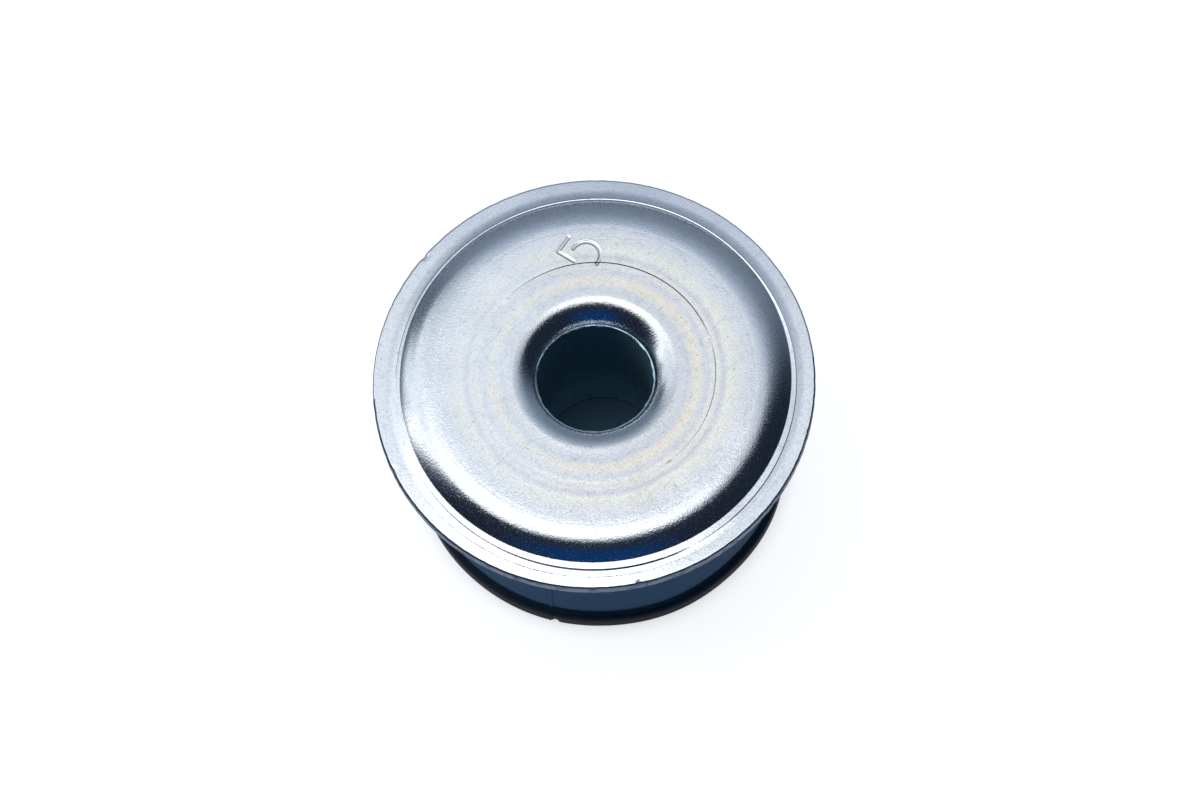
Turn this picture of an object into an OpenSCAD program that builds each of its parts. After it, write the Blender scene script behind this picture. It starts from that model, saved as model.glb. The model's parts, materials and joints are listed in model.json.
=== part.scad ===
// Round rubber isolator: a pressed steel cap washer bonded to a moulded rubber body with a through bore.
// The axis is +Z, and the origin is at the centre of the rubber's base.

/* [Bolt hole] */
// Diameter of the hole through the washer and the rubber
bore_d = 13; // [9:0.5:17]
// Radius of the drawn lip round the hole
lip_r = 3.4; // [2.4:0.1:4]
// Slope of the lip at the hole, in degrees
lip_slope = 48; // [40:1:60]
// Radius of the bore's edge at the base of the rubber
bore_edge_r = 0.5; // [0.2:0.1:1]

/* [Cap washer] */
// Thickness of the pressed sheet
sheet_t = 1.2; // [0.8:0.1:1.6]
// Diameter over the flared rim
rim_d = 48.4; // [47:0.2:60]
// Width of the rim's flat outer part
rim_flat = 1.5; // [0.5:0.1:1.8]
// Width of the flare from the rim's edge in to the dome's root, where its bend starts to tighten
flare_w = 2.85; // [2:0.05:3.5]
// Slope at the dome's root, in degrees
root_slope = 16; // [12:1:20]
// Radius of the fillet between the rim and the shoulder
root_fillet_r = 0.5; // [0.3:0.1:1]
// Radius of the dome's rounded shoulder
shoulder_r = 5.75; // [3:0.25:8]
// Steepest slope of the shoulder, in degrees
shoulder_slope = 40; // [30:1:48]
// Diameter of the step pressed into the crown
step_d = 26.1; // [20:0.1:33]
// Depth of that step
step_depth = 0.08; // [0.04:0.02:0.3]

/* [Rubber body] */
// Height of the rim's outer edge above the base
rim_h = 21.2; // [15:0.1:40]
// Diameter of the rubber wall
body_d = 41.2; // [36:0.1:43]
// Radius of the rubber's fillet under the rim
bond_r = 0.5; // [0.2:0.1:1]
// Height of the lip at the base
base_lip_h = 2.2; // [1.2:0.1:4]
// How far the base lip stands out from the wall
base_lip_proud = 0.5; // [0.45:0.05:1.5]
// Edge radius of the base lip
base_edge_r = 0.4; // [0.1:0.05:0.45]
// Height of the groove above the base lip
groove_h = 1.7; // [1:0.1:3]
// Depth of that groove
groove_depth = 0.5; // [0.2:0.05:0.8]

/* [Hidden] */
$fn = 128;
// Largest turn between two points of a bend, in degrees
bend_step = 8;
bore_r = bore_d / 2;
rim_r = rim_d / 2;
root_r = rim_r - flare_w;
step_r = step_d / 2;
wall_r = body_d / 2;
base_r = wall_r + base_lip_proud;

// Direction square to a sheet that falls outward by the slope s
function square_to(s) = [sin(s), cos(s)];

// Points [radius, height, slope] along a bend about c. A negative r makes a hollow bend.
function bend(c, r, s0, s1) =
    let (count = ceil(abs(s1 - s0) / bend_step))
    [for (i = [0 : count])
        let (s = s0 + (s1 - s0) * i / count, p = c + r * square_to(s))
        [p.x, p.y, s]];

// Point on the sheet's underside, below a point of its top
function under(p) = [p.x, p.y] - sheet_t * square_to(p.z);

// Quarter round of radius r about c, from the angle a0 to a1
function corner(c, r, a0, a1) =
    let (count = ceil(abs(a1 - a0) / bend_step))
    [for (i = [0 : count])
        let (a = a0 + (a1 - a0) * i / count)
        c + r * [cos(a), sin(a)]];

// Each bend of the washer starts where the last one ends, from the rim's edge inward
rim_bend_r = (flare_w - rim_flat) / sin(root_slope);
rim_c = [rim_r - rim_flat, rim_h + rim_bend_r];
fillet_c = rim_c - (rim_bend_r - root_fillet_r) * square_to(root_slope);
shoulder_c = fillet_c - (root_fillet_r + shoulder_r) * square_to(shoulder_slope);
crown_z = shoulder_c.y + shoulder_r;
lip_c = [bore_r + lip_r * sin(lip_slope), crown_z - step_depth - lip_r];
hole_z = lip_c.y + lip_r * cos(lip_slope);

// Top of the sheet from the hole to the rim's edge
crown_step = [[step_r, crown_z - step_depth, 0], [step_r + step_depth, crown_z, 0]];
rim_edge = [rim_r, rim_h, 0];
dome_top = concat(
    bend(lip_c, lip_r, -lip_slope, 0),
    crown_step,
    bend(shoulder_c, shoulder_r, 0, shoulder_slope),
    bend(fillet_c, -root_fillet_r, shoulder_slope, root_slope),
    bend(rim_c, -rim_bend_r, root_slope, 0),
    [rim_edge]);

// Bends share their end points, so each repeated point is left out
function no_repeats(points) =
    [for (i = [0 : len(points) - 1])
        if (i == 0 || norm(points[i] - points[i - 1]) > 0.001) points[i]];

sheet_top = no_repeats(dome_top);
sheet_under = [for (p = sheet_top) under(p)];
sheet_under_back = [for (i = [len(sheet_under) - 1 : -1 : 0]) sheet_under[i]];

// The rubber follows the underside out to its fillet under the rim
bond_end_r = wall_r + bond_r;
bond_end_z = lookup(bond_end_r, sheet_under);
bonded_face = [for (p = sheet_under) if (p.x < bond_end_r) p];

// Groove above the base lip, as an arc through its two edges and its depth
groove_r = (pow(groove_h / 2, 2) + pow(groove_depth, 2)) / (2 * groove_depth);
groove_c = [wall_r - groove_depth + groove_r, base_lip_h + groove_h / 2];
groove_half_angle = asin(groove_h / 2 / groove_r);

rubber_outline = concat(
    [[bore_r, hole_z]],
    bonded_face,
    corner([bond_end_r, bond_end_z - bond_r], bond_r, 90, 180),
    corner(groove_c, groove_r, 180 - groove_half_angle, 180 + groove_half_angle),
    corner([base_r - base_edge_r, base_lip_h - base_edge_r], base_edge_r, 90, 0),
    corner([base_r - base_edge_r, base_edge_r], base_edge_r, 0, -90),
    corner([bore_r + bore_edge_r, bore_edge_r], bore_edge_r, 270, 180));

// Pressed steel washer with its drawn lip, flat crown, rounded shoulder and flared rim
module cap_washer() {
    color([0.80, 0.83, 0.87])
        rotate_extrude()
            polygon([for (p = concat(sheet_top, sheet_under_back)) [p.x, p.y]]);
}

// Rubber moulding bonded to the underside of the washer
module rubber_body() {
    color([0.12, 0.17, 0.22])
        rotate_extrude()
            polygon(rubber_outline);
}

cap_washer();
rubber_body();
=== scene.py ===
import json
import math

import bpy
import numpy as np
from mathutils import Matrix, Vector

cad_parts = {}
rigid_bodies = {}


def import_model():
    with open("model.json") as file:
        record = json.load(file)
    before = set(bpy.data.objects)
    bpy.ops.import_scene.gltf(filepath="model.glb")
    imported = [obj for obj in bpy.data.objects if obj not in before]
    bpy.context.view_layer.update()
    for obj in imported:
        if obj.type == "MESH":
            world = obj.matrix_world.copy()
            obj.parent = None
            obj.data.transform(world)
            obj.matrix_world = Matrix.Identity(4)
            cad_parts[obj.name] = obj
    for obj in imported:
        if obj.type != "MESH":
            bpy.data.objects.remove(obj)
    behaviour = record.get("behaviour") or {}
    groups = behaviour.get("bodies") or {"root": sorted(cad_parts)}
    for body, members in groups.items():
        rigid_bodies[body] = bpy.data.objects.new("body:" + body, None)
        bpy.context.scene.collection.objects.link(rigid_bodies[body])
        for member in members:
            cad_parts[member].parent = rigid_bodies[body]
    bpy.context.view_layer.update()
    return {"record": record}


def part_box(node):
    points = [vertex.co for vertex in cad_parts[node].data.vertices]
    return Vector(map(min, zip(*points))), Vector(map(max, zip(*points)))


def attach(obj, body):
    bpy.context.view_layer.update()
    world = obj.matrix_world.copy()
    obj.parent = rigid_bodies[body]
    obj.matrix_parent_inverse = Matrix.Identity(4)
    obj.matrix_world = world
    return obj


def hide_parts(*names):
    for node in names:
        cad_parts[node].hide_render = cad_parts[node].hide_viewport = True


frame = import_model()
mm = 0.001  # sizes below are in millimetres, meshes are in metres

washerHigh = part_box("cap_washer")[1]
mounts = {mount["name"]: mount for mount in frame["record"]["mounts"]}
boreRadius = mounts["bolt_bore"]["dims"]["r_mm"]
rimRadius = washerHigh.x / mm
crownHeight = washerHigh.z / mm
print("frame loaded: rim radius", round(rimRadius, 2), "crown height", round(crownHeight, 2))


# node helpers

def addNode(tree, kind, **settings):
    node = tree.nodes.new(kind)
    for key, value in settings.items():
        setattr(node, key, value)
    return node


def feed(tree, socket, value):
    if isinstance(value, bpy.types.NodeSocket):
        tree.links.new(value, socket)
    else:
        socket.default_value = value


def calc(tree, operation, *values, clamp=False):
    node = addNode(tree, "ShaderNodeMath", operation=operation, use_clamp=clamp)
    for socket, value in zip(node.inputs, values):
        feed(tree, socket, value)
    return node.outputs[0]


def vectorCalc(tree, operation, *values):
    node = addNode(tree, "ShaderNodeVectorMath", operation=operation)
    slots = [node.inputs[0], node.inputs["Scale"]] if operation == "SCALE" else node.inputs
    for socket, value in zip(slots, values):
        feed(tree, socket, value)
    return node.outputs["Value"] if operation in ("DOT_PRODUCT", "LENGTH") else node.outputs["Vector"]


def ease(tree, value, low, high):  # 0 below low, 1 above high, smooth between
    node = addNode(tree, "ShaderNodeMapRange", interpolation_type="SMOOTHSTEP")
    feed(tree, node.inputs["Value"], value)
    feed(tree, node.inputs["From Min"], low)
    feed(tree, node.inputs["From Max"], high)
    return node.outputs["Result"]


def mixColour(tree, share, first, second, blend="MIX"):
    node = addNode(tree, "ShaderNodeMix", data_type="RGBA", blend_type=blend)
    feed(tree, node.inputs["Factor"], share)
    feed(tree, node.inputs[6], first)
    feed(tree, node.inputs[7], second)
    return node.outputs[2]


def ramp(tree, value, stops):  # stops are (position, colour)
    node = addNode(tree, "ShaderNodeValToRGB")
    elements = node.color_ramp.elements
    while len(elements) > 1:
        elements.remove(elements[-1])
    for index, (position, colour) in enumerate(stops):
        element = elements[0] if index == 0 else elements.new(position)
        element.position = position
        element.color = (*colour, 1.0)
    feed(tree, node.inputs["Fac"], value)
    return node.outputs["Color"]


def noise(tree, vector, scale, detail=2.0, roughness=0.5):
    node = addNode(tree, "ShaderNodeTexNoise")
    feed(tree, node.inputs["Vector"], vector)
    node.inputs["Scale"].default_value = scale
    node.inputs["Detail"].default_value = detail
    node.inputs["Roughness"].default_value = roughness
    return node.outputs["Fac"]


def newGroup(name, inputs, outputs):
    group = bpy.data.node_groups.new(name, "ShaderNodeTree")
    for socketName, socketType, default in inputs:
        socket = group.interface.new_socket(name=socketName, in_out="INPUT", socket_type=socketType)
        if default is not None:
            socket.default_value = default
    for socketName, socketType in outputs:
        group.interface.new_socket(name=socketName, in_out="OUTPUT", socket_type=socketType)
    return group, group.nodes.new("NodeGroupInput"), group.nodes.new("NodeGroupOutput")


def placeGroup(tree, group, **values):
    node = addNode(tree, "ShaderNodeGroup", node_tree=group)
    for name, value in values.items():
        feed(tree, node.inputs[name], value)
    return node


# shared effects

def makeFineGrain():  # small bumps and specks of a plated or moulded skin
    group, inside, out = newGroup(
        "fineGrain",
        [("Vector", "NodeSocketVector", None), ("Size", "NodeSocketFloat", 0.25)],
        [("Height", "NodeSocketFloat"), ("Specks", "NodeSocketFloat")],
    )
    perSize = calc(group, "DIVIDE", 1.0, inside.outputs["Size"])
    scaled = vectorCalc(group, "SCALE", inside.outputs["Vector"], perSize)
    height = noise(group, scaled, 1.0, 3.0, 0.6)
    specks = ease(group, noise(group, scaled, 0.6, 2.0, 0.5), 0.62, 0.78)
    group.links.new(height, out.inputs["Height"])
    group.links.new(specks, out.inputs["Specks"])
    return group


def makeHandlingMarks():  # short fine scratches in two directions
    group, inside, out = newGroup(
        "handlingMarks",
        [("Vector", "NodeSocketVector", None), ("Length", "NodeSocketFloat", 6.0),
         ("Turn", "NodeSocketFloat", 0.6)],
        [("Marks", "NodeSocketFloat")],
    )
    masks = []
    for index, offset in enumerate((0.0, 1.9)):
        turned = addNode(group, "ShaderNodeVectorRotate", rotation_type="Z_AXIS")
        feed(group, turned.inputs["Vector"], inside.outputs["Vector"])
        feed(group, turned.inputs["Angle"], calc(group, "ADD", inside.outputs["Turn"], offset))
        stretch = addNode(group, "ShaderNodeCombineXYZ")
        feed(group, stretch.inputs["X"], calc(group, "DIVIDE", 1.0, inside.outputs["Length"]))
        stretch.inputs["Y"].default_value = 6.5 + index
        stretch.inputs["Z"].default_value = 1.0
        spread = vectorCalc(group, "MULTIPLY", turned.outputs["Vector"], stretch.outputs["Vector"])
        masks.append(ease(group, noise(group, spread, 1.0, 1.0, 0.4), 0.70, 0.76))
    group.links.new(calc(group, "MAXIMUM", *masks), out.inputs["Marks"])
    return group


def makeAxisPlace():  # radius and height in millimetres, and the turn about the axis from 0 to 1
    group, inside, out = newGroup(
        "axisPlace",
        [("Vector", "NodeSocketVector", None)],
        [("Radius", "NodeSocketFloat"), ("Height", "NodeSocketFloat"), ("Turn", "NodeSocketFloat")],
    )
    parts = addNode(group, "ShaderNodeSeparateXYZ")
    feed(group, parts.inputs[0], inside.outputs["Vector"])
    flat = addNode(group, "ShaderNodeCombineXYZ")
    group.links.new(parts.outputs["X"], flat.inputs["X"])
    group.links.new(parts.outputs["Y"], flat.inputs["Y"])
    group.links.new(vectorCalc(group, "LENGTH", flat.outputs[0]), out.inputs["Radius"])
    group.links.new(parts.outputs["Z"], out.inputs["Height"])
    angle = calc(group, "ARCTAN2", parts.outputs["Y"], parts.outputs["X"])
    group.links.new(calc(group, "MULTIPLY_ADD", angle, 0.5 / math.pi, 0.5), out.inputs["Turn"])
    return group


fineGrain = makeFineGrain()
handlingMarks = makeHandlingMarks()
axisPlace = makeAxisPlace()


def startMaterial(name, metallic, roughness):
    material = bpy.data.materials.new(name)
    material.use_nodes = True
    tree = material.node_tree
    shader = tree.nodes["Principled BSDF"]
    shader.inputs["Metallic"].default_value = metallic
    shader.inputs["Roughness"].default_value = roughness
    place = addNode(tree, "ShaderNodeTexCoord").outputs["Object"]
    inMillimetres = vectorCalc(tree, "SCALE", place, 1.0 / mm)
    return material, tree, shader, inMillimetres


def addBump(tree, shader, height, depth):  # depth in millimetres
    bump = addNode(tree, "ShaderNodeBump")
    bump.inputs["Strength"].default_value = 1.0
    bump.inputs["Distance"].default_value = depth * mm
    feed(tree, bump.inputs["Height"], height)
    tree.links.new(bump.outputs["Normal"], shader.inputs["Normal"])


zincPlate = {
    "cool": (0.88, 0.945, 1.0),
    "smudge": (0.36, 0.41, 0.52),
    "roughness": 0.12,
    "grainSize": 0.24,
    "grainDepth": 0.006,
    "peelSize": 0.19,  # coarse grain of the drawn bends
    "peelDepth": 0.016,
    "peelShare": (0.88, 0.12),  # more of it on the bends, and everywhere
    "speckSize": 0.17,  # rough specks between smooth crystals
    "speckRough": 0.30,
    "speckShare": (0.15, 0.40),  # more of them on the bends, and everywhere
    "bendStart": 16.9,  # radius where the shoulder starts
    "bendEnd": 21.2,
    "lipSpan": (8.6, 9.6),  # radii where the drawn lip turns into the flat crown
    "tintSpan": 25.0,  # radius at the end of the tints
    "tintWander": 0.4,  # the rings of tint wander by half of this either way
    "warmSpan": (-16.0, 8.0),  # from the cool left to the warm right
    "warmShare": (0.50, 0.48),  # more warmth to the right, and everywhere
    "warmPatches": 0.8,
    "tints": (  # radius in millimetres and the colour of the passivation there
        (6.4, (0.80, 0.86, 0.92)), (8.9, (0.77, 0.79, 0.82)), (9.5, (0.82, 0.83, 0.86)),
        (10.1, (0.72, 0.75, 0.82)), (10.6, (0.92, 0.87, 0.78)), (11.3, (1.0, 0.93, 0.78)),
        (11.9, (0.83, 0.84, 0.86)), (12.3, (0.80, 0.81, 0.86)), (12.65, (0.99, 0.97, 0.86)),
        (13.05, (0.90, 0.88, 0.87)), (13.4, (0.97, 0.93, 0.84)), (13.9, (0.72, 0.74, 0.80)),
        (14.5, (1.0, 0.98, 0.88)), (15.3, (0.93, 0.92, 0.86)), (16.2, (0.86, 0.88, 0.90)),
        (16.9, (0.84, 0.87, 0.92)), (18.0, (0.88, 0.92, 0.97)), (24.5, (0.86, 0.90, 0.95)),
    ),
    "cloud": 0.14,  # share of the smudge colour in each kind of mark
    "blotch": 0.23,
    "specks": 0.30,
    "pits": 0.55,
    "streaks": 0.60,
    "scratches": 0.28,
    "mottle": (0.17, 0.14),  # fine mottle everywhere, and more of it at the front
    "frontSpan": (-14.0, 4.0),
    "cloudRough": 0.06,
    "streakSpan": (9.2, 13.6),  # radii with fine dark streaks along the turn
    "streakGrain": (46.0, 3.6),  # grain of the streaks per turn and per millimetre of radius
    "streakDepth": 0.002,
    "scratchDepth": 0.0015,
    "shine": 0.34,  # share of white in the fine bright streaks along the turn
    "shineSpan": (9.0, 10.0),
    "burr": (0.62, 0.84, 0.92),  # torn edge of the hole
    "burrSpan": (6.50, 6.60),
    "burrRough": 0.22,
}


def makeZincPlate(spec):
    material, tree, shader, place = startMaterial("zincPlate", 1.0, spec["roughness"])
    axis = placeGroup(tree, axisPlace, Vector=place)
    radius = axis.outputs["Radius"]
    grain = placeGroup(tree, fineGrain, Vector=place, Size=spec["grainSize"])
    peel = placeGroup(tree, fineGrain, Vector=place, Size=spec["peelSize"])
    marks = placeGroup(tree, handlingMarks, Vector=place, Length=5.0, Turn=0.5)
    wanderNoise = noise(tree, place, 0.7, 4.0, 0.6)
    wander = calc(tree, "MULTIPLY_ADD", wanderNoise, spec["tintWander"], -spec["tintWander"] / 2)
    ringRadius = calc(tree, "ADD", radius, wander)
    stops = [(ring / spec["tintSpan"], tone) for ring, tone in spec["tints"]]
    tint = ramp(tree, calc(tree, "DIVIDE", ringRadius, spec["tintSpan"]), stops)
    parts = addNode(tree, "ShaderNodeSeparateXYZ")
    feed(tree, parts.inputs[0], place)
    warmSide = ease(tree, parts.outputs["X"], *spec["warmSpan"])
    patchNoise = noise(tree, place, 0.28, 3.0)
    patches = calc(tree, "MULTIPLY_ADD", patchNoise, spec["warmPatches"], -spec["warmPatches"] / 2)
    warmth = calc(tree, "MULTIPLY_ADD", warmSide, *spec["warmShare"])
    warmShare = calc(tree, "ADD", warmth, patches, clamp=True)
    colour = mixColour(tree, warmShare, (*spec["cool"], 1.0), tint)

    # cloudy smudges, fine mottle, specks, pits, streaks along the turn and scratches
    def smudged(colour, mask, share):
        return mixColour(tree, calc(tree, "MULTIPLY", mask, share), colour, (*spec["smudge"], 1.0))

    cloud = ease(tree, noise(tree, place, 0.8, 5.0, 0.65), 0.52, 0.74)
    colour = smudged(colour, cloud, spec["cloud"])
    blotch = ease(tree, noise(tree, place, 1.3, 4.0, 0.7), 0.50, 0.72)
    colour = smudged(colour, blotch, spec["blotch"])
    mottle = ease(tree, grain.outputs["Height"], 0.42, 0.66)
    frontShare = calc(tree, "SUBTRACT", 1.0, ease(tree, parts.outputs["Y"], *spec["frontSpan"]))
    mottleShare = calc(tree, "MULTIPLY_ADD", frontShare, spec["mottle"][1], spec["mottle"][0])
    colour = smudged(colour, mottle, mottleShare)
    colour = smudged(colour, peel.outputs["Specks"], spec["specks"])
    pits = ease(tree, noise(tree, place, 1.5, 2.0, 0.6), 0.68, 0.74)
    colour = smudged(colour, pits, spec["pits"])
    streakPlace = addNode(tree, "ShaderNodeCombineXYZ")
    feed(tree, streakPlace.inputs["X"], calc(tree, "MULTIPLY", axis.outputs["Turn"], spec["streakGrain"][0]))
    feed(tree, streakPlace.inputs["Y"], calc(tree, "MULTIPLY", radius, spec["streakGrain"][1]))
    streaks = ease(tree, noise(tree, streakPlace.outputs[0], 1.0, 3.0, 0.6), 0.56, 0.74)
    inSpan = ease(tree, radius, spec["streakSpan"][0], spec["streakSpan"][0] + 0.6)
    pastSpan = ease(tree, radius, spec["streakSpan"][1] - 1.2, spec["streakSpan"][1])
    streaks = calc(tree, "MULTIPLY", streaks, calc(tree, "SUBTRACT", inSpan, pastSpan))
    streakBreaks = ease(tree, noise(tree, place, 2.2, 2.0), 0.40, 0.62)
    brokenStreaks = calc(tree, "MULTIPLY", streaks, streakBreaks)
    colour = smudged(colour, brokenStreaks, spec["streaks"])
    colour = smudged(colour, marks.outputs["Marks"], spec["scratches"])
    shine = ease(tree, noise(tree, streakPlace.outputs[0], 1.7, 2.0, 0.6), 0.54, 0.68)
    shine = calc(tree, "MULTIPLY", shine, ease(tree, radius, *spec["shineSpan"]))
    colour = mixColour(tree, calc(tree, "MULTIPLY", shine, spec["shine"]), colour, (1.0, 1.0, 1.0, 1.0))
    onBurr = calc(tree, "SUBTRACT", 1.0, ease(tree, radius, *spec["burrSpan"]))
    colour = mixColour(tree, onBurr, colour, (*spec["burr"], 1.0))
    tree.links.new(colour, shader.inputs["Base Color"])

    # the drawn bends are coarser than the flats
    onBend = ease(tree, radius, spec["bendStart"] - 2.6, spec["bendStart"] + 0.9)
    pastBend = ease(tree, radius, spec["bendEnd"] - 0.3, spec["bendEnd"] + 0.3)
    nearHole = calc(tree, "SUBTRACT", 1.0, ease(tree, radius, *spec["lipSpan"]))
    coarse = calc(tree, "MAXIMUM", calc(tree, "SUBTRACT", onBend, pastBend), nearHole)
    peelShare = calc(tree, "MULTIPLY_ADD", coarse, *spec["peelShare"])
    specks = ease(tree, noise(tree, place, 1.0 / spec["speckSize"], 1.0, 0.5), 0.56, 0.68)
    speckShare = calc(tree, "MULTIPLY_ADD", coarse, *spec["speckShare"])
    specks = calc(tree, "MULTIPLY", specks, speckShare)
    rough = calc(tree, "MULTIPLY_ADD", specks, spec["speckRough"], spec["roughness"])
    rough = calc(tree, "MULTIPLY_ADD", cloud, spec["cloudRough"], rough)
    rough = calc(tree, "MULTIPLY_ADD", onBurr, spec["burrRough"], rough)
    tree.links.new(rough, shader.inputs["Roughness"])
    height = calc(tree, "MULTIPLY", grain.outputs["Height"], spec["grainDepth"])
    peelHeight = calc(tree, "MULTIPLY", peel.outputs["Height"], spec["peelDepth"])
    height = calc(tree, "MULTIPLY_ADD", peelHeight, peelShare, height)
    height = calc(tree, "MULTIPLY_ADD", brokenStreaks, -spec["streakDepth"], height)
    height = calc(tree, "MULTIPLY_ADD", marks.outputs["Marks"], -spec["scratchDepth"], height)
    addBump(tree, shader, height, 1.0)
    return material


shearedSteel = {
    "colour": (0.088, 0.126, 0.190),
    "stain": (0.080, 0.110, 0.160),
    "stainRough": 0.2,
    "roughness": 0.42,
    "grainSize": 0.16,
    "grainDepth": 0.02,
}


def makeShearedSteel(spec):
    material, tree, shader, place = startMaterial("shearedSteel", 1.0, spec["roughness"])
    grain = placeGroup(tree, fineGrain, Vector=place, Size=spec["grainSize"])
    stain = ease(tree, noise(tree, place, 0.9, 4.0, 0.6), 0.45, 0.65)
    colour = mixColour(tree, stain, (*spec["colour"], 1.0), (*spec["stain"], 1.0))
    tree.links.new(colour, shader.inputs["Base Color"])
    rough = calc(tree, "MULTIPLY_ADD", stain, spec["stainRough"], spec["roughness"])
    tree.links.new(rough, shader.inputs["Roughness"])
    addBump(tree, shader, grain.outputs["Height"], spec["grainDepth"])
    return material


mouldedRubber = {
    "colour": (0.044, 0.132, 0.238),
    "bloom": (0.056, 0.152, 0.266),  # faint pale bloom on old rubber
    "dust": (0.08, 0.11, 0.14),
    "bore": (0.185, 0.325, 0.385),  # painted light in the bore against its shade, more of it low down
    "boreLow": (0.40, 0.60, 0.70),
    "boreFoot": (0.88, 0.94, 0.97),  # painted light at the foot of the bore, where its shade is deepest
    "boreEnd": (6.8, 7.6),  # radii where the bore's painted light ends
    "boreLowSpan": (1.0, 11.0),  # heights of each change of the painted light
    "boreFootSpan": (0.3, 1.1),
    "groove": (0.014, 0.046, 0.088),  # painted shade in the groove above the base lip
    "grooveSpan": (2.2, 4.6),
    "base": (0.054, 0.062, 0.073),  # the lip at the base is greyer and darker
    "roughness": 0.46,
    "specular": 0.02,
    "streakGrain": (22.0, 1.4),  # grain of the bloom per turn and per millimetre of height
    "dustShare": 0.10,
    "bloomRough": 0.10,
    "grainSize": 0.14,
    "grainDepth": 0.008,
}


def makeMouldedRubber(spec):
    material, tree, shader, place = startMaterial("mouldedRubber", 0.0, spec["roughness"])
    shader.inputs["Specular IOR Level"].default_value = spec["specular"]
    grain = placeGroup(tree, fineGrain, Vector=place, Size=spec["grainSize"])
    axis = placeGroup(tree, axisPlace, Vector=place)
    height = axis.outputs["Height"]
    streakPlace = addNode(tree, "ShaderNodeCombineXYZ")
    feed(tree, streakPlace.inputs["X"], calc(tree, "MULTIPLY", axis.outputs["Turn"], spec["streakGrain"][0]))
    feed(tree, streakPlace.inputs["Y"], calc(tree, "MULTIPLY", height, spec["streakGrain"][1]))
    streaks = noise(tree, streakPlace.outputs[0], 1.0, 4.0, 0.6)
    bloom = ease(tree, streaks, 0.40, 0.70)
    colour = mixColour(tree, bloom, (*spec["colour"], 1.0), (*spec["bloom"], 1.0))
    dust = calc(tree, "MULTIPLY", grain.outputs["Specks"], spec["dustShare"])
    colour = mixColour(tree, dust, colour, (*spec["dust"], 1.0))
    # painted shade over the groove and the low wall above the base lip
    grooveLow, grooveHigh = spec["grooveSpan"]
    pastGroove = ease(tree, height, grooveHigh - 1.2, grooveHigh)
    colour = mixColour(tree, pastGroove, (*spec["groove"], 1.0), colour)
    atBase = calc(tree, "SUBTRACT", 1.0, ease(tree, height, grooveLow - 0.3, grooveLow + 0.3))
    colour = mixColour(tree, atBase, colour, (*spec["base"], 1.0))
    # painted light in the bore: its rubber is lightened against the bore's shade, more low down and near
    # white at the foot
    inBore = calc(tree, "SUBTRACT", 1.0, ease(tree, axis.outputs["Radius"], *spec["boreEnd"]))
    pastLow = ease(tree, height, *spec["boreLowSpan"])
    borePaintedLight = mixColour(tree, pastLow, (*spec["boreLow"], 1.0), (*spec["bore"], 1.0))
    pastFoot = ease(tree, height, *spec["boreFootSpan"])
    borePaintedLight = mixColour(tree, pastFoot, (*spec["boreFoot"], 1.0), borePaintedLight)
    colour = mixColour(tree, inBore, colour, borePaintedLight)
    tree.links.new(colour, shader.inputs["Base Color"])
    rough = calc(tree, "MULTIPLY_ADD", bloom, spec["bloomRough"], spec["roughness"])
    tree.links.new(rough, shader.inputs["Roughness"])
    addBump(tree, shader, grain.outputs["Height"], spec["grainDepth"])
    return material


zinc = makeZincPlate(zincPlate)
sheared = makeShearedSteel(shearedSteel)
rubber = makeMouldedRubber(mouldedRubber)
print("materials made")


# turned meshes

def bendPoints(centre, radius, startSlope, endSlope, count):  # a negative radius makes a hollow bend
    slopes = np.radians(np.linspace(startSlope, endSlope, count))
    across, up = radius * np.sin(slopes), radius * np.cos(slopes)
    return np.stack([centre[0] + across, centre[1] + up, slopes], 1)


def flatPoints(startRadius, endRadius, height, spacing):
    count = max(2, int(math.ceil(abs(endRadius - startRadius) / spacing)) + 1)
    radii = np.linspace(startRadius, endRadius, count)
    return np.stack([radii, np.full(count, height), np.zeros(count)], 1)


def squareTo(slope):
    return np.array([math.sin(math.radians(slope)), math.cos(math.radians(slope))])


def turnAngles(coarse, fineZones):  # degrees, with finer steps inside each (start, end, step)
    angles = []
    angle = 0.0
    while angle < 360.0 - 1e-6:
        step = coarse
        for start, end, fine in fineZones:
            if start <= angle % 360.0 < end:
                step = fine
        angles.append(angle)
        angle += step
    return np.radians(np.array(angles))


def turnedMesh(name, radii, heights, angles, materials, faceSlots, sharpAngle):
    # radii and heights are grids of (profile point, angle), and the profile closes on itself
    rings, steps = radii.shape
    points = np.stack([radii * np.cos(angles), radii * np.sin(angles), heights], -1).reshape(-1, 3) * mm
    ring = np.arange(rings)[:, None]
    step = np.arange(steps)[None, :]
    nextRing = (ring + 1) % rings
    nextStep = (step + 1) % steps
    corners = [
        ring * steps + step, nextRing * steps + step,
        nextRing * steps + nextStep, ring * steps + nextStep,
    ]
    grids = [np.broadcast_to(corner, (rings, steps)) for corner in corners]
    faces = np.stack(grids, -1).reshape(-1, 4)
    mesh = bpy.data.meshes.new(name)
    mesh.from_pydata(points.tolist(), [], faces.tolist())
    for material in materials:
        mesh.materials.append(material)
    mesh.polygons.foreach_set("material_index", faceSlots.ravel().astype(np.int32))
    mesh.shade_smooth()
    mesh.set_sharp_from_angle(angle=math.radians(sharpAngle))
    mesh.update()
    piece = bpy.data.objects.new(name, mesh)
    bpy.context.scene.collection.objects.link(piece)
    return piece


def rising(values, start, width):  # 0 up to start, then 1 after the width
    return np.clip((values - start) / width, 0, 1)


def falling(values, end, width):  # 1 until the width before end, then 0
    return np.clip((end - values) / width, 0, 1)


def turnFrom(angles, place):  # degrees round the turn from a place, from -180 to 180
    return (np.degrees(angles) - place + 180) % 360 - 180


def softNoise(angles, seed, orders, reach):  # repeatable waviness round a turn
    draws = np.random.default_rng(seed)
    wave = np.zeros_like(angles)
    for order in orders:
        wave += draws.normal() * np.cos(order * angles + draws.uniform(0, 2 * math.pi))
    return reach * wave / math.sqrt(len(orders) / 2)


# cap washer

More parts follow.
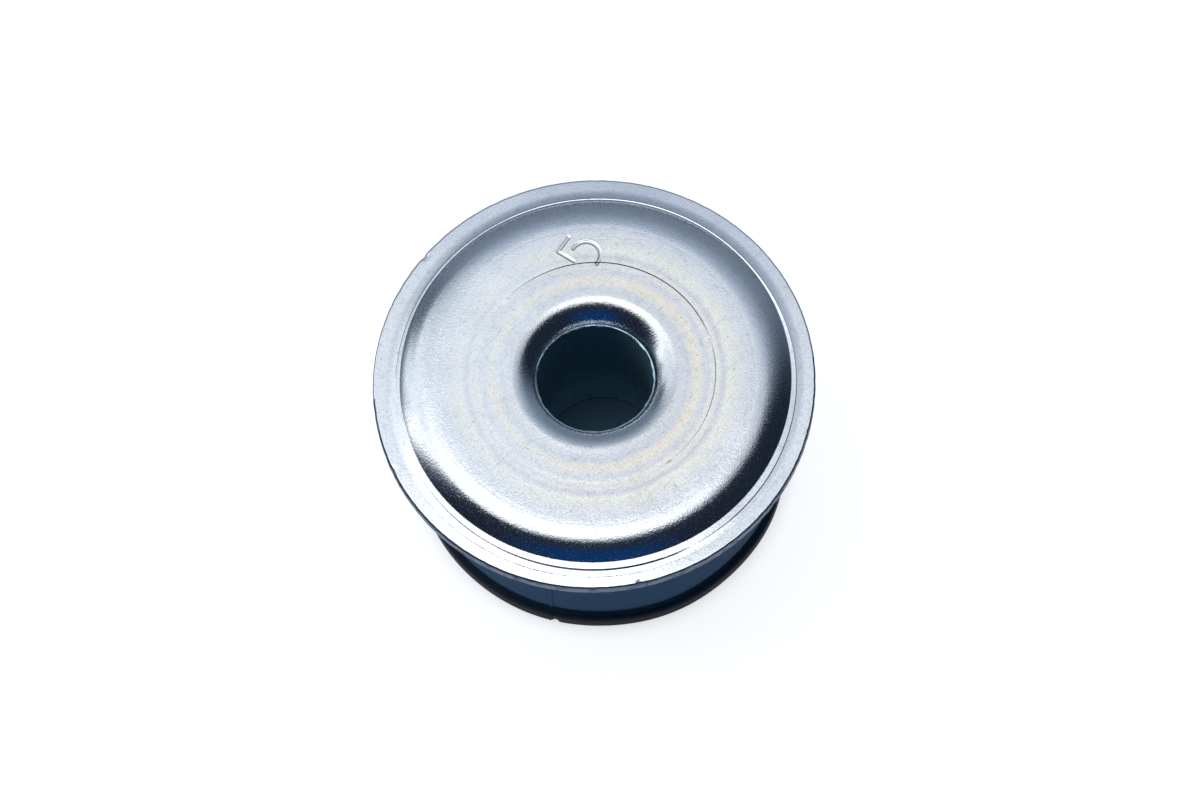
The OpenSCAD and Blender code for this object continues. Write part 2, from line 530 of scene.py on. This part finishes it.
capWasher = {
    "sheet": 1.2,
    "rimFlat": 1.5,
    "rootRadius": 21.35,
    "rootSlope": 16.0,
    "shoulderSlope": 40.0,
    "filletRadius": 0.5,
    "shoulderRadius": 5.75,
    "lipRadius": 3.4,
    "lipSlope": 48.0,
    "stepRadius": 13.05,
    "stepDepth": 0.08,
    "stepShift": 0.10,  # the step is pressed a little off centre
    "stepBlend": 0.09,  # width of the step's slope
    "stepFacing": 38.0,  # the step is clear on this side, in degrees, and fades out opposite
    "stepClear": (1.5, 0.2),  # how fast it fades, and how far past the side
    "stepRise": (9.5, 3.0),  # radius and width where the step's shift starts, and then where it ends
    "stepFade": (17.2, 3.0),
    "flatEnd": 17.4,  # radius where the flat crown ends
    "sinkFade": (19.5, 1.5),
    "lipStart": (0.07, 0.33, 0.20),  # the lip starts further out at the back and the right
    "lipFade": (12.4, 3.2),
    "rootRise": (18.6, 2.4),
    "rootFade": (22.6, 1.2),
    "footRadius": 21.30,
    "footShift": 0.14,
    "markRadius": 21.72,  # die mark round the root, off centre and widest at the front
    "markShift": (0.05, -0.18),
    "markPinch": (34.0, 26.0, 0.15),  # place, width in degrees and depth where the mark is narrow
    "markTilt": (1.0, 7.0, 7.0),  # mean rise of its band in degrees, and more to the right and the back
    "markDrop": (0.05, 0.08),  # width of its drop, and more of it on one side
    "dropFacing": -102.0,  # that side, in degrees
    "rollover": 0.22,  # rounded upper corner of the sheared edge
    "trimShift": 0.15,  # the rim is trimmed a little off centre
    "trimStart": 22.4,
    "trimClear": 0.006,  # keeps the rim inside the solid
    "edgeWave": 0.02,
    "nicks": ((-83.4, 0.6, 0.11), (137.0, 0.7, 0.12), (-20.0, 0.5, 0.06), (201.0, 0.6, 0.08)),
    "burrReach": 0.17,
    "burrWave": 0.04,
    "ripple": 0.006,  # faint waviness of the pressing
    "rippleRise": (9.0, 4.0),
    "rippleFade": 2.0,
    "swells": (  # radius, width and fall in degrees of soft rings in the crown
        (10.15, 0.35, -0.7), (12.6, 0.30, 0.8), (13.8, 0.35, -0.6), (14.5, 0.40, 0.4),
        (17.25, 0.15, 2.5),
    ),
    "swellRise": (8.2, 1.2),
    "swellFade": (21.0, 2.0),
    "rimBent": (-36.0, 24.0, 3.2),  # place, width and rise in degrees where the rim is bent up a little
    "rimFall": (1.5, 1.2, -116.0, 0.2),  # mean fall, its change twice a turn, where, and to the front
    "fallStart": 22.0,
    "fallReach": 2.3,
}

stampedFive = {
    "corner": (-2.84, 14.78),  # where the bar meets the stem
    "turn": 51.5,  # direction of the bar
    "bar": 2.1,
    "stem": 2.1,
    "bowlCentre": (1.35, 2.78),
    "bowlRadius": 1.58,
    "bowlSweep": (-95.0, 98.0),
    "halfWidth": 0.21,
    "depth": 0.060,
    "ridge": 0.010,
}


def washerProfile(spec):
    rootSlope = math.radians(spec["rootSlope"])
    flatStart = rimRadius - spec["rimFlat"]
    rimBend = (flatStart - spec["rootRadius"]) / math.sin(rootSlope)
    rimCentre = np.array([flatStart, rimBend])
    filletCentre = rimCentre - (rimBend - spec["filletRadius"]) * squareTo(spec["rootSlope"])
    bothRadii = spec["filletRadius"] + spec["shoulderRadius"]
    shoulderCentre = filletCentre - bothRadii * squareTo(spec["shoulderSlope"])
    lift = crownHeight - (shoulderCentre[1] + spec["shoulderRadius"])
    for centre in (rimCentre, filletCentre, shoulderCentre):
        centre[1] += lift
    inner = crownHeight - spec["stepDepth"]
    lipEnd = boreRadius + spec["lipRadius"] * math.sin(math.radians(spec["lipSlope"]))
    lipCentre = (lipEnd, inner - spec["lipRadius"])
    stepMiddle, stepHalf = spec["stepRadius"] + spec["stepDepth"] / 2, spec["stepBlend"] / 2
    rimHeight = rimCentre[1] - rimBend
    return np.concatenate([
        bendPoints(lipCentre, spec["lipRadius"], -spec["lipSlope"], 0, 26),
        flatPoints(lipCentre[0] + 0.1, stepMiddle - 0.2, inner, 0.13),
        flatPoints(stepMiddle - 0.1, stepMiddle - stepHalf, inner, 0.06),
        flatPoints(stepMiddle + stepHalf, stepMiddle + 0.1, crownHeight, 0.06),
        flatPoints(stepMiddle + 0.2, 16.7, crownHeight, 0.1),
        flatPoints(16.85, shoulderCentre[0] - 0.12, crownHeight, 0.25),
        bendPoints(shoulderCentre, spec["shoulderRadius"], 0, spec["shoulderSlope"], 30),
        bendPoints(filletCentre, -spec["filletRadius"], spec["shoulderSlope"] - 3, spec["rootSlope"], 8),
        bendPoints(rimCentre, -rimBend, spec["rootSlope"] - 0.6, 0, 22),
        flatPoints(flatStart + 0.2, rimRadius - 0.3, rimHeight, 0.3),
        [(rimRadius, rimHeight, 0.0)],
    ])


def fiveDepth(spec, x, y):  # height change of the stamped figure at points on the crown
    turn = math.radians(spec["turn"])
    across = (x - spec["corner"][0]) * math.cos(turn) + (y - spec["corner"][1]) * math.sin(turn)
    down = (x - spec["corner"][0]) * math.sin(turn) - (y - spec["corner"][1]) * math.cos(turn)
    toBar = np.hypot(across - np.clip(across, 0, spec["bar"]), down)
    toStem = np.hypot(across, down - np.clip(down, 0, spec["stem"]))
    bowlX, bowlY = across - spec["bowlCentre"][0], down - spec["bowlCentre"][1]
    sweep = np.degrees(np.arctan2(bowlY, bowlX))
    held = np.radians(np.clip(sweep, *spec["bowlSweep"]))
    toBowl = np.hypot(bowlX - spec["bowlRadius"] * np.cos(held), bowlY - spec["bowlRadius"] * np.sin(held))
    away = np.minimum(np.minimum(toBar, toStem), toBowl) / spec["halfWidth"]
    groove = np.clip(1.0 - away, 0, 1)
    ridge = np.exp(-((away - 1.25) / 0.3) ** 2)
    return -spec["depth"] * groove * (2 - groove) + spec["ridge"] * ridge


def makeCapWasher(spec, five):
    top = washerProfile(spec)
    holeHeight = top[0, 1]
    angles = turnAngles(0.9, [(79.0, 105.0, 0.3), (275.0, 278.5, 0.3)])
    steps = len(angles)
    burr = np.array([
        (boreRadius + 0.02, holeHeight - 1.0, 0.0),
        (boreRadius - 0.7 * spec["burrReach"], holeHeight - 0.17, 0.0),
        (boreRadius - spec["burrReach"], holeHeight - 0.09, 0.0),
        (boreRadius - 0.6 * spec["burrReach"], holeHeight - 0.02, 0.0),
    ])
    rimEnd = top[-1, :2].copy()
    edge = []
    for degrees in (30, 60, 90):
        turn = math.radians(degrees)
        inward, downward = spec["rollover"] * (1 - math.sin(turn)), spec["rollover"] * (1 - math.cos(turn))
        edge.append((rimEnd[0] - inward, rimEnd[1] - downward, 0.0))
    top[-1, 0] -= spec["rollover"]
    for share in (0.45, 0.8, 1.0):
        edge.append((rimEnd[0], rimEnd[1] - share * spec["sheet"], 0.0))
    edge = np.array(edge)
    underPicks = np.concatenate([np.arange(len(top) - 2, 40, -8), np.arange(25, -1, -5)])
    under = np.array([
        (radius - spec["sheet"] * math.sin(slope), height - spec["sheet"] * math.cos(slope), 0.0)
        for radius, height, slope in top[underPicks]
    ])
    profile = np.concatenate([burr, top, edge, under])
    topStart, edgeStart = len(burr), len(burr) + len(top)
    underStart = edgeStart + len(edge)
    radii = np.repeat(profile[:, :1], steps, 1)
    heights = np.repeat(profile[:, 1:2], steps, 1)

    # ragged inner burr
    ragged = softNoise(angles, 5, range(4, 40, 3), spec["burrWave"])
    radii[1:3] += ragged
    heights[1:3] += 0.4 * softNoise(angles, 8, range(5, 40, 3), spec["burrWave"])

    # the lip and the dome's root are drawn a little off centre
    topRows = slice(topStart, edgeStart)
    plainStart = boreRadius + spec["lipRadius"] * math.sin(math.radians(spec["lipSlope"]))
    outward, atBack, atRight = spec["lipStart"]
    start = plainStart + outward + atBack * np.sin(angles)
    start = start + atRight * np.maximum(np.cos(angles), 0) ** 2
    edgeSlope = np.arcsin((start - boreRadius) / spec["lipRadius"])
    lipCount = int((top[:, 2] < 0).sum()) + 1
    for index in range(lipCount):
        slope = edgeSlope * (1 - index / (lipCount - 1))
        radii[topStart + index] = start - spec["lipRadius"] * np.sin(slope)
        heights[topStart + index] = crownHeight - spec["stepDepth"] - spec["lipRadius"] * (1 - np.cos(slope))
    heights[1:topStart] += heights[topStart] - holeHeight
    beyondLip = falling(profile[topRows, :1], *spec["lipFade"]) * (np.arange(len(top))[:, None] >= lipCount)
    radii[topRows] += (start - plainStart) * beyondLip
    rootShare = rising(radii[topRows], *spec["rootRise"]) * falling(radii[topRows], *spec["rootFade"])
    radii[topRows] += spec["footShift"] * np.sin(angles) * rootShare

    # die mark round the root: a narrow tilted band that drops to the rim in a fine step
    foot = spec["footRadius"] + spec["footShift"] * np.sin(angles)
    mark = spec["markRadius"] + spec["markShift"][0] * np.cos(angles) + spec["markShift"][1] * np.sin(angles)
    pinchPlace, pinchWidth, pinch = spec["markPinch"]
    mark -= pinch * np.exp(-(turnFrom(angles, pinchPlace) / pinchWidth) ** 2)
    flatStart = rimRadius - spec["rimFlat"]
    markRows = np.nonzero((profile[:, 0] > spec["footRadius"]) & (profile[:, 0] < flatStart))[0]
    markRows = markRows[(markRows >= topStart) & (markRows < edgeStart)]
    inBand = len(markRows) // 2
    dropFacing = np.cos(angles - math.radians(spec["dropFacing"]))
    drop = spec["markDrop"][0] + spec["markDrop"][1] * np.clip(dropFacing, 0, 1) ** 4
    for index, row in enumerate(markRows):
        if index < inBand:
            radii[row] = foot + (mark - foot) * (index + 1) / inBand
        else:
            share = (index - inBand + 1) / (len(markRows) - inBand)
            radii[row] = mark + drop + (flatStart - mark) * share ** 1.5
    rowShift = spec["footShift"] * np.sin(angles) * falling(radii[markRows], *spec["rootFade"])
    levels = np.interp(radii[markRows] - rowShift, profile[topRows, 0], profile[topRows, 1])
    footLevel = np.interp(spec["footRadius"], profile[topRows, 0], profile[topRows, 1])
    meanTilt, rightTilt, backTilt = spec["markTilt"]
    tilt = np.radians(meanTilt + rightTilt * np.cos(angles) + backTilt * np.sin(angles))
    band = footLevel + np.tan(tilt) * (radii[markRows[:inBand]] - foot)
    levels[:inBand] = np.maximum(band, levels[:inBand])
    heights[markRows] = levels

    # the step fades out on one side, where the crown outside it sinks to its level
    clearRate, clearPast = spec["stepClear"]
    clear = np.clip(clearRate * np.cos(angles - math.radians(spec["stepFacing"])) + clearPast, 0, 1)
    onFlat = (profile[topRows, 2] == 0) & (profile[topRows, 0] < spec["flatEnd"])
    flatRows = np.nonzero(onFlat)[0] + topStart
    fromStep = profile[flatRows, :1] - spec["stepRadius"] - spec["stepDepth"] / 2
    rise = np.clip(fromStep / spec["stepBlend"] + 0.5, 0, 1)
    onStep = np.abs(fromStep) < spec["stepBlend"]
    radii[flatRows] += np.where(onStep, fromStep * (np.maximum(clear, 0.1) - 1), 0)
    heights[flatRows] = crownHeight - spec["stepDepth"] * (1 - clear * rise)
    outerSink = falling(radii[topRows], *spec["sinkFade"]) * (profile[topRows, :1] > spec["flatEnd"])
    heights[topRows] -= spec["stepDepth"] * (1 - clear) * outerSink
    swell = np.zeros_like(radii[topRows])
    for place, width, slope in spec["swells"]:
        passed = 0.5 + 0.5 * np.tanh(1.2 * (radii[topRows] - place) / width)
        swell -= math.tan(math.radians(slope)) * width * 1.6 * passed
    pastLip = rising(radii[topRows], *spec["swellRise"])
    heights[topRows] += (swell - swell.max()) * pastLip * falling(radii[topRows], *spec["swellFade"])

    # off-centre step
    nearStep = rising(radii[topRows], *spec["stepRise"]) * falling(radii[topRows], *spec["stepFade"])
    radii[topRows] += spec["stepShift"] * np.sin(angles) * nearStep

    # off-centre trim, wavy shear line and nicks at the rim
    rimShare = rising(radii, spec["trimStart"], rimRadius - spec["trimStart"])
    shearWave = np.abs(softNoise(angles, 3, range(20, 120, 7), spec["edgeWave"]))
    trim = -spec["trimShift"] * (1 + np.cos(angles)) - shearWave
    radii += rimShare * (trim - spec["trimClear"])
    upperEdge = slice(edgeStart - 2, edgeStart + 3)
    for place, width, depth in spec["nicks"]:
        dip = np.exp(-(turnFrom(angles, place) / width) ** 4)
        radii[upperEdge] -= depth * dip
        heights[upperEdge] -= 0.6 * depth * dip

    # stamped figure and faint ripple of the top
    x, y = radii[topRows] * np.cos(angles), radii[topRows] * np.sin(angles)
    onCrown = (radii[topRows] > spec["stepRadius"] - 0.5) & (radii[topRows] < spec["stepFade"][0])
    heights[topRows] += np.where(onCrown, fiveDepth(five, x, y), 0.0)
    rippleZone = rising(radii[topRows], *spec["rippleRise"])
    rippleZone = rippleZone * falling(radii[topRows], rimRadius, spec["rippleFade"])
    heights[topRows] += rippleZone * softNoise(angles, 11, range(2, 15), spec["ripple"])
    meanFall, fallChange, fallSide, frontFall = spec["rimFall"]
    twiceRound = np.cos(2 * (angles - math.radians(fallSide)))
    rimFall = meanFall + fallChange * twiceRound - frontFall * np.sin(angles)
    bentPlace, bentWidth, bentRise = spec["rimBent"]
    rimFall = rimFall - bentRise * np.exp(-(turnFrom(angles, bentPlace) / bentWidth) ** 2)
    heights -= np.tan(np.radians(rimFall)) * np.clip(radii - spec["fallStart"], 0, spec["fallReach"])
    heights[topRows] = np.minimum(heights[topRows], crownHeight)

    # the sheared edge is bare steel, but at the back the plating reaches over its corner
    slots = np.zeros((len(profile), steps), int)
    slots[edgeStart - 1:underStart] = 1
    slots[edgeStart - 1, np.sin(angles) > 0] = 0
    print("cap washer:", len(profile), "profile points,", steps, "steps,", 2 * slots.size, "triangles")
    return turnedMesh("capWasher", radii, heights, angles, [zinc, sheared], slots, 40)


washer = makeCapWasher(capWasher, stampedFive)
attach(washer, "root")
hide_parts("cap_washer")


# rubber body

rubberBody = {
    "wallRadius": 20.6,
    "bondRadius": 0.5,
    "lipHeight": 2.2,
    "lipProud": 0.5,
    "edgeRadius": 0.4,
    "grooveHeight": 1.7,
    "grooveDepth": 0.5,
    "boreEdge": 0.5,
    "partingAngles": (-109.9, 70.1),
    "partingWidth": 0.5,
    "partingProud": 0.09,
    "partingNotch": 0.22,
    "partingBlend": 0.06,  # width of each side of the parting line
    "partingGroove": 0.05,  # fine groove beside it
    "partingTop": 19.5,  # height where the parting line ends
    "notchPlace": 0.35,  # millimetres round the wall from the parting line
    "notchWidth": 0.45,
    "notchTop": 1.6,
    "wallWave": 0.03,
    "wallRows": 26,
    "boreRows": 14,
}


def arcPoints(centre, radius, start, end, count):
    turns = np.radians(np.linspace(start, end, count))
    return np.stack([centre[0] + radius * np.cos(turns), centre[1] + radius * np.sin(turns)], 1)


def rubberProfile(spec, washerTop, sheet):
    under = np.stack([
        washerTop[:, 0] - sheet * np.sin(washerTop[:, 2]),
        washerTop[:, 1] - sheet * np.cos(washerTop[:, 2]),
    ], 1)[::3]
    holeHeight = washerTop[0, 1]
    wall = spec["wallRadius"]
    bondEnd = wall + spec["bondRadius"]
    dome = under[np.argsort(under[:, 0])]
    bondHeight = float(np.interp(bondEnd, dome[:, 0], dome[:, 1]))
    bonded = under[under[:, 0] < bondEnd]
    lip = wall + spec["lipProud"]
    edge = spec["edgeRadius"]
    halfGroove = spec["grooveHeight"] / 2
    grooveRadius = (halfGroove ** 2 + spec["grooveDepth"] ** 2) / (2 * spec["grooveDepth"])
    grooveCentre = (wall - spec["grooveDepth"] + grooveRadius, spec["lipHeight"] + halfGroove)
    grooveTurn = math.degrees(math.asin(halfGroove / grooveRadius))
    wallTop = bondHeight - spec["bondRadius"]
    grooveTop = spec["lipHeight"] + spec["grooveHeight"]
    wallHeights = np.linspace(wallTop - 0.3, grooveTop + 0.15, spec["wallRows"])
    boreHeights = np.linspace(spec["boreEdge"] + 0.5, holeHeight - 1.4, spec["boreRows"])
    return np.concatenate([
        [(boreRadius, holeHeight - 0.95)],
        bonded,
        arcPoints((bondEnd, wallTop), spec["bondRadius"], 90, 180, 7),
        np.stack([np.full(spec["wallRows"], wall), wallHeights], 1),
        arcPoints(grooveCentre, grooveRadius, 180 - grooveTurn, 180 + grooveTurn, 12),
        arcPoints((lip - edge, spec["lipHeight"] - edge), edge, 90, 0, 7),
        arcPoints((lip - edge, edge), edge, 0, -90, 7),
        [(boreRadius + 5.0, 0.0)],
        arcPoints((boreRadius + spec["boreEdge"], spec["boreEdge"]), spec["boreEdge"], 270, 180, 6),
        np.stack([np.full(spec["boreRows"], boreRadius), boreHeights], 1),
    ])


def makeRubberBody(spec):
    profile = rubberProfile(spec, washerProfile(capWasher), capWasher["sheet"])
    zones = [((place % 360) - 2.6, (place % 360) + 2.6, 0.16) for place in spec["partingAngles"]]
    angles = turnAngles(0.9, zones)
    steps = len(angles)
    radii = np.repeat(profile[:, :1], steps, 1)
    heights = np.repeat(profile[:, 1:2], steps, 1)
    outside = np.clip((radii - spec["wallRadius"] + 1.2) / 0.6, 0, 1) * (heights < spec["partingTop"])
    halfWidth = spec["partingWidth"] / 2
    for place in spec["partingAngles"]:
        off = np.radians(turnFrom(angles, place)) * spec["wallRadius"]
        band = np.clip((halfWidth - np.abs(off)) / spec["partingBlend"] + 0.5, 0, 1)
        line = np.exp(-((np.abs(off) - halfWidth - 0.05) / spec["partingBlend"]) ** 2)
        radii += outside * (spec["partingProud"] * band - spec["partingGroove"] * line)
        notch = np.exp(-((off - spec["notchPlace"]) / spec["notchWidth"]) ** 4)
        lowPart = falling(heights, spec["notchTop"], 1.2) * (radii > spec["wallRadius"] - 0.5)
        radii -= spec["partingNotch"] * notch * lowPart
    radii += outside * softNoise(angles, 21, range(2, 10), spec["wallWave"])
    heights = np.maximum(heights, 0.0)
    slots = np.zeros((len(profile), steps), int)
    print("rubber body:", len(profile), "profile points,", steps, "steps,", 2 * slots.size, "triangles")
    return turnedMesh("rubberBody", radii, heights, angles, [rubber], slots, 50)


body = makeRubberBody(rubberBody)
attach(body, "root")
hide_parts("rubber_body")
print("pieces made")


# floor

paleFloor = {
    "halfSide": 4.0,
    "drop": 0.01,  # keeps the floor clear of the rubber's base
    "colour": (0.50, 0.59, 0.72),
    "far": (0.16, 0.20, 0.26),  # the floor darkens away from the object
    "farStart": 110.0,  # millimetres from the axis
    "farEnd": 260.0,
    "lift": 0.89,  # added white where camera, glossy or transmission rays meet the floor
    # the white lift fades out between these radii: a painted shadow round the object
    "shadeStart": 16.0,
    "shadeEnd": 23.0,
    # darker floor colour under the hole, painted shade seen through the bore
    "holeColour": (0.18, 0.33, 0.44),
    "holeSpan": (8.0, 18.0),  # radii where the painted shade under the hole ends
    "roughness": 0.9,
}


def makeFloor(spec):
    half = spec["halfSide"]
    mesh = bpy.data.meshes.new("floor")
    corners = [(-half, -half, 0), (half, -half, 0), (half, half, 0), (-half, half, 0)]
    mesh.from_pydata(corners, [], [(0, 1, 2, 3)])
    floor = bpy.data.objects.new("floor", mesh)
    floor.location.z = -spec["drop"] * mm
    bpy.context.scene.collection.objects.link(floor)
    material, tree, shader, place = startMaterial("paleFloor", 0.0, spec["roughness"])
    shader.inputs["Specular IOR Level"].default_value = 0.0
    axis = placeGroup(tree, axisPlace, Vector=place)
    radius = axis.outputs["Radius"]
    # painted shadow: the lift fades out towards the axis
    outsidePaintedShadow = ease(tree, radius, spec["shadeStart"], spec["shadeEnd"])
    farGround = ease(tree, radius, spec["farStart"], spec["farEnd"])
    rays = addNode(tree, "ShaderNodeLightPath")
    seen = calc(tree, "MAXIMUM", rays.outputs["Is Camera Ray"], rays.outputs["Is Glossy Ray"])
    seen = calc(tree, "MAXIMUM", seen, rays.outputs["Is Transmission Ray"])
    # painted shade under the hole
    pastHole = ease(tree, radius, *spec["holeSpan"])
    ground = mixColour(tree, pastHole, (*spec["holeColour"], 1.0), (*spec["colour"], 1.0))
    ground = mixColour(tree, farGround, ground, (*spec["far"], 1.0))
    tree.links.new(ground, shader.inputs["Base Color"])
    shader.inputs["Emission Color"].default_value = (1.0, 1.0, 1.0, 1.0)
    lit = calc(tree, "MULTIPLY", outsidePaintedShadow, calc(tree, "SUBTRACT", 1.0, farGround))
    lift = calc(tree, "MULTIPLY", calc(tree, "MULTIPLY", seen, lit), spec["lift"])
    tree.links.new(lift, shader.inputs["Emission Strength"])
    mesh.materials.append(material)


makeFloor(paleFloor)


# light from a plain studio: a ceiling panel, a pale back wall, windows at the left, a low strip in front

studioLight = {
    "backTurn": 105.0,  # direction of the pale side of the room
    "sideBlend": (-0.02, 0.60),  # how the dark side turns into the pale side
    "paleSide": (  # degrees from straight up, and the light there
        (0.0, (0.72, 0.73, 0.76)), (15.0, (0.62, 0.64, 0.68)), (19.5, (0.60, 0.63, 0.67)),
        (22.6, (1.0, 1.05, 1.10)), (25.2, (0.80, 0.84, 0.90)), (29.0, (0.55, 0.61, 0.71)),
        (36.0, (0.40, 0.46, 0.56)), (45.0, (0.30, 0.36, 0.45)), (58.0, (0.20, 0.245, 0.31)),
        (75.0, (0.17, 0.21, 0.27)), (95.0, (0.16, 0.20, 0.26)), (180.0, (0.16, 0.20, 0.26)),
    ),
    "darkSide": (
        (0.0, (0.66, 0.68, 0.72)), (5.0, (0.60, 0.62, 0.66)), (8.5, (0.30, 0.32, 0.36)),
        (12.0, (0.10, 0.11, 0.14)), (16.0, (0.045, 0.05, 0.07)), (22.0, (0.020, 0.026, 0.040)),
        (45.0, (0.013, 0.018, 0.030)), (80.0, (0.012, 0.018, 0.034)),
        (95.0, (0.05, 0.08, 0.14)), (180.0, (0.05, 0.08, 0.14)),
    ),
    "panels": (
        {"name": "side wall", "turn": 122.0, "tilt": 32.0, "shift": 0.0,
         "halfWide": 0.17, "halfHigh": 0.15, "soft": 0.08,
         "colour": (0.94, 0.98, 1.03), "strength": 0.64},
        {"name": "window", "turn": 144.0, "tilt": 46.0, "shift": 0.0,
         "halfWide": 0.24, "halfHigh": 0.58, "soft": 0.07,
         "colour": (0.94, 0.99, 1.04), "strength": 0.94},
        {"name": "bright window", "turn": 168.0, "tilt": 50.0, "shift": 0.0,
         "halfWide": 0.115, "halfHigh": 0.52, "soft": 0.05,
         "colour": (1.0, 1.0, 1.0), "strength": 1.35},
        {"name": "dark post", "turn": 131.5, "tilt": 72.0, "shift": 0.0,
         "halfWide": 0.15, "halfHigh": 0.25, "soft": 0.07,
         "colour": (0.78, 1.0, 1.28), "strength": 0.14},
        {"name": "blue cloth", "turn": 263.0, "tilt": 60.0, "shift": 0.0,
         "halfWide": 0.46, "halfHigh": 0.42, "soft": 0.26,
         "colour": (0.03, 0.28, 1.0), "strength": 0.125},
        {"name": "front strip", "turn": 270.0, "tilt": 86.2, "shift": 0.0,
         "halfWide": 1.7, "halfHigh": 0.062, "soft": 0.015,
         "colour": (0.90, 0.99, 1.12), "strength": 2.0},
        {"name": "ceiling edge", "turn": 90.0, "tilt": 9.7, "shift": 0.245,
         "halfWide": 0.155, "halfHigh": 0.19, "soft": 0.05,
         "colour": (0.97, 1.0, 1.05), "strength": 0.58},
        {"name": "ceiling", "turn": 90.0, "tilt": 6.2, "shift": -0.11,
         "halfWide": 0.31, "halfHigh": 0.215, "soft": 0.035,
         "colour": (1.0, 1.0, 1.0), "strength": 1.60},
        {"name": "ceiling corner", "turn": 42.6, "tilt": 20.2, "shift": 0.0,
         "halfWide": 0.225, "halfHigh": 0.12, "soft": 0.03,
         "colour": (0.97, 1.0, 1.05), "strength": 0.64},
    ),
}


def makeSoftPanel():  # mask of a soft-edged panel seen in a direction
    group, inside, out = newGroup(
        "softPanel",
        [("Direction", "NodeSocketVector", None), ("Centre", "NodeSocketVector", None),
         ("Across", "NodeSocketVector", None), ("Upward", "NodeSocketVector", None),
         ("Half Wide", "NodeSocketFloat", 0.3), ("Half High", "NodeSocketFloat", 0.3),
         ("Shift", "NodeSocketFloat", 0.0), ("Soft", "NodeSocketFloat", 0.1)],
        [("Mask", "NodeSocketFloat")],
    )
    ahead = vectorCalc(group, "DOT_PRODUCT", inside.outputs["Direction"], inside.outputs["Centre"])
    safe = calc(group, "MAXIMUM", ahead, 0.02)
    mask = calc(group, "GREATER_THAN", ahead, 0.02)
    for axisName, halfName in (("Across", "Half Wide"), ("Upward", "Half High")):
        along = vectorCalc(group, "DOT_PRODUCT", inside.outputs["Direction"], inside.outputs[axisName])
        offset = calc(group, "DIVIDE", along, safe)
        if axisName == "Across":
            offset = calc(group, "SUBTRACT", offset, inside.outputs["Shift"])
        reach = calc(group, "ABSOLUTE", offset)
        start = calc(group, "SUBTRACT", inside.outputs[halfName], inside.outputs["Soft"])
        end = calc(group, "ADD", inside.outputs[halfName], inside.outputs["Soft"])
        within = calc(group, "SUBTRACT", 1.0, ease(group, reach, start, end))
        mask = calc(group, "MULTIPLY", mask, within)
    group.links.new(mask, out.inputs["Mask"])
    return group


def makeStudioLight(spec):
    world = bpy.data.worlds.new("studio")
    bpy.context.scene.world = world
    world.use_nodes = True
    tree = world.node_tree
    background = tree.nodes["Background"]
    direction = addNode(tree, "ShaderNodeTexCoord").outputs["Generated"]
    parts = addNode(tree, "ShaderNodeSeparateXYZ")
    feed(tree, parts.inputs[0], direction)
    tilt = calc(tree, "DIVIDE", calc(tree, "ARCCOSINE", parts.outputs["Z"]), math.pi)
    level = addNode(tree, "ShaderNodeCombineXYZ")
    tree.links.new(parts.outputs["X"], level.inputs["X"])
    tree.links.new(parts.outputs["Y"], level.inputs["Y"])
    around = vectorCalc(tree, "NORMALIZE", level.outputs[0])
    backTurn = math.radians(spec["backTurn"])
    toBack = vectorCalc(tree, "DOT_PRODUCT", around, (math.cos(backTurn), math.sin(backTurn), 0.0))
    paleSide = ramp(tree, tilt, [(angle / 180, colour) for angle, colour in spec["paleSide"]])
    darkSide = ramp(tree, tilt, [(angle / 180, colour) for angle, colour in spec["darkSide"]])
    light = mixColour(tree, ease(tree, toBack, *spec["sideBlend"]), darkSide, paleSide)
    softPanel = makeSoftPanel()
    for panel in spec["panels"]:
        turn, tilt = math.radians(panel["turn"]), math.radians(panel["tilt"])
        ahead = Vector((math.cos(turn), math.sin(turn), 0.0))
        centre = ahead * math.sin(tilt) + Vector((0, 0, math.cos(tilt)))
        upward = ahead * math.cos(tilt) - Vector((0, 0, math.sin(tilt)))
        across = Vector((math.sin(turn), -math.cos(turn), 0.0))
        values = {
            "Centre": centre, "Across": across, "Upward": upward, "Shift": panel["shift"],
            "Half Wide": panel["halfWide"], "Half High": panel["halfHigh"], "Soft": panel["soft"],
        }
        mask = placeGroup(tree, softPanel, Direction=direction, **values)
        mask.label = panel["name"]
        glow = (*[channel * panel["strength"] for channel in panel["colour"]], 1.0)
        light = mixColour(tree, mask.outputs["Mask"], light, glow)
    tree.links.new(light, background.inputs["Color"])
    background.inputs["Strength"].default_value = 1.0


makeStudioLight(studioLight)


# camera, placed by a fit to the ellipses of the washer

photoCamera = {
    "distance": 400.0,
    "targetHeight": 21.2,
    "elevation": 67.27,
    "roll": -5.01,
    "focalPixels": 3689.0,
    "axisPixel": (595.1, 379.2),
    "imageSize": (1200.0, 800.0),
    "sensor": 36.0,
}


def makeCamera(spec):
    data = bpy.data.cameras.new("photoCamera")
    camera = bpy.data.objects.new("photoCamera", data)
    bpy.context.scene.collection.objects.link(camera)
    elevation = math.radians(spec["elevation"])
    target = Vector((0, 0, spec["targetHeight"] * mm))
    back = Vector((0, -math.cos(elevation), math.sin(elevation)))
    facing = (-back).to_track_quat("-Z", "Y").to_matrix().to_4x4()
    camera.matrix_world = (
        Matrix.Translation(target + back * spec["distance"] * mm)
        @ facing
        @ Matrix.Rotation(math.radians(spec["roll"]), 4, "Z")
    )
    data.sensor_width = spec["sensor"]
    wide, high = spec["imageSize"]
    data.lens = spec["sensor"] * spec["focalPixels"] / wide
    data.shift_x = (wide / 2 - spec["axisPixel"][0]) / wide
    data.shift_y = (spec["axisPixel"][1] - high / 2) / wide
    data.clip_start = 0.01
    data.clip_end = 50.0
    bpy.context.scene.camera = camera


makeCamera(photoCamera)
bpy.context.scene.view_settings.view_transform = "Standard"
print("floor, light and camera made")
